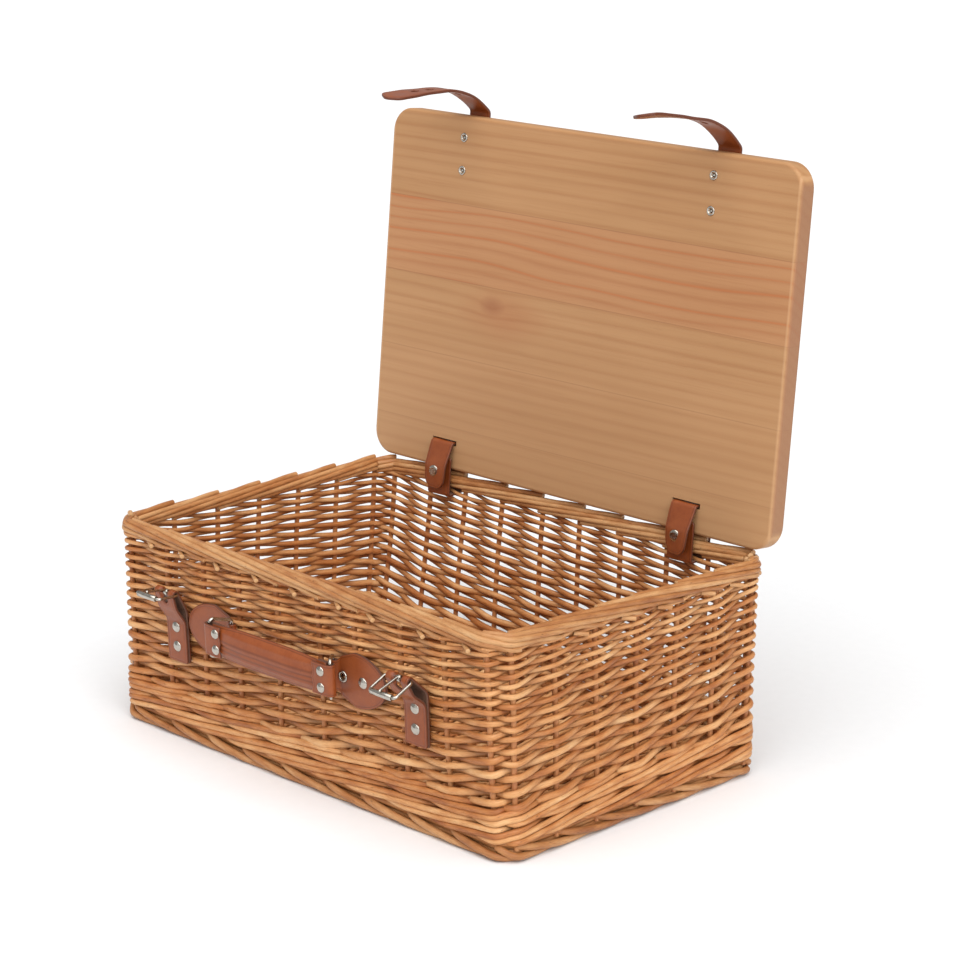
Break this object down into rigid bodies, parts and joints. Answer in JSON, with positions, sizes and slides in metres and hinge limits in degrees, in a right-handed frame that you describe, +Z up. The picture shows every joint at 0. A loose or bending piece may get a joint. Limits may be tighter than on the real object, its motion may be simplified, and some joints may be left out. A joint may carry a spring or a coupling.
{
  "type": "wicker picnic basket",
  "caption": "Rectangular woven wicker hamper with a flat wooden board lid on leather hinge straps, two leather closure straps with buckles and a leather carrying handle.",
  "frame": {"origin": "centre of the basket's foot on the floor", "axes": "+Z up, +X along the long side to the right as seen from the front, the front wall with the buckles and handle faces -Y, the lid stands open at the back"},
  "size_m": [0.484, 0.4026, 0.5558],
  "materials": {
    "willow_weave": "varnished split willow, satin",
    "willow_stake": "varnished round willow, satin",
    "willow_border": "varnished round willow, satin",
    "pine_board": "oiled pine, fine horizontal grain",
    "tan_leather": "smooth tan leather, slight sheen",
    "nickel": "polished nickel plate",
    "dark_eyelet": "blackened steel"
  },
  "bodies": {
    "basket": {"base_weave": "willow_weave", "base_sticks": "willow_stake", "foot_border": "willow_border", "upsett_waling": "willow_border", "weave_front": "willow_weave", "weave_back": "willow_weave", "weave_left": "willow_weave", "weave_right": "willow_weave", "stakes_front": "willow_stake", "stakes_back": "willow_stake", "stakes_left": "willow_stake", "stakes_right": "willow_stake", "stakes_corner": "willow_stake", "rim_border": "willow_border", "handle_pad_left": "tan_leather", "handle_pad_right": "tan_leather", "handle_pad_eyelets": "dark_eyelet", "handle_pad_rivets": "nickel", "buckle_chape_left": "tan_leather", "buckle_chape_right": "tan_leather", "buckle_chape_rivets": "nickel", "hinge_strap_left": "tan_leather", "hinge_strap_right": "tan_leather", "hinge_strap_rivets": "nickel"},
    "lid": {"lid_board": "pine_board", "strap_screws": "nickel", "closure_strap_left_anchor": "tan_leather", "closure_strap_right_anchor": "tan_leather"},
    "strap_left": {"closure_strap_left": "tan_leather"},
    "strap_right": {"closure_strap_right": "tan_leather"},
    "buckle_left": {"buckle_frame_left": "nickel"},
    "prong_left": {"buckle_prong_left": "nickel"},
    "roller_left": {"buckle_roller_left": "nickel"},
    "buckle_right": {"buckle_frame_right": "nickel"},
    "prong_right": {"buckle_prong_right": "nickel"},
    "roller_right": {"buckle_roller_right": "nickel"},
    "ring_left": {"handle_ring_left": "nickel"},
    "ring_right": {"handle_ring_right": "nickel"},
    "grip": {"handle_grip": "tan_leather", "handle_grip_rivets": "nickel"}
  },
  "joints": [
    {"name": "lid_hinge", "type": "hinge", "parent": "basket", "child": "lid", "pos_m": [0, 0.15865, 0.19615], "axis": [1, 0, 0], "range_deg": [0, 94.2], "deforming": ["hinge_strap_left", "hinge_strap_right", "hinge_strap_rivets"]},
    {"name": "strap_flex_left", "type": "hinge", "parent": "lid", "child": "strap_left", "pos_m": [-0.147, 0.19568, 0.51745], "axis": [1, 0, 0], "range_deg": [-60, 0], "stiffness_Nm_per_rad": 0.1},
    {"name": "strap_flex_right", "type": "hinge", "parent": "lid", "child": "strap_right", "pos_m": [0.147, 0.19568, 0.51745], "axis": [1, 0, 0], "range_deg": [-60, 0], "stiffness_Nm_per_rad": 0.1},
    {"name": "buckle_swing_left", "type": "hinge", "parent": "basket", "child": "buckle_left", "pos_m": [-0.147, -0.1753, 0.14], "axis": [-1, 0, 0], "range_deg": [-85, 0]},
    {"name": "prong_swing_left", "type": "hinge", "parent": "buckle_left", "child": "prong_left", "pos_m": [-0.147, -0.1753, 0.14], "axis": [1, 0, 0], "range_deg": [-100, 0]},
    {"name": "roller_spin_left", "type": "hinge", "parent": "buckle_left", "child": "roller_left", "pos_m": [-0.147, -0.19629, 0.14073], "axis": [1, 0, 0], "continuous": true},
    {"name": "buckle_swing_right", "type": "hinge", "parent": "basket", "child": "buckle_right", "pos_m": [0.147, -0.1825, 0.1388], "axis": [-1, 0, 0], "range_deg": [-60, 0]},
    {"name": "prong_swing_right", "type": "hinge", "parent": "buckle_right", "child": "prong_right", "pos_m": [0.147, -0.1825, 0.1388], "axis": [1, 0, 0], "range_deg": [-100, 0]},
    {"name": "roller_spin_right", "type": "hinge", "parent": "buckle_right", "child": "roller_right", "pos_m": [0.147, -0.2015, 0.12986], "axis": [1, 0, 0], "continuous": true},
    {"name": "ring_swing_left", "type": "hinge", "parent": "basket", "child": "ring_left", "pos_m": [-0.0725, -0.16562, 0.11424], "axis": [0, -0.0578, 0.9983], "range_deg": [-27, 3]},
    {"name": "grip_swing", "type": "hinge", "parent": "ring_left", "child": "grip", "pos_m": [-0.07746, -0.1858, 0.11858], "axis": [0, -0.0578, 0.9983], "range_deg": [-3.09, 23.86]},
    {"name": "ring_swing_right", "type": "hinge", "parent": "basket", "child": "ring_right", "pos_m": [0.0525, -0.16562, 0.11424], "axis": [0, -0.0578, 0.9983], "range_deg": [-28.71, 3.63]}
  ],
  "couplings": [
    {"joint": "grip_swing", "follows": "ring_swing_left", "ratio": -0.865},
    {"joint": "ring_swing_right", "follows": "ring_swing_left", "ratio": 1.045}
  ]
}
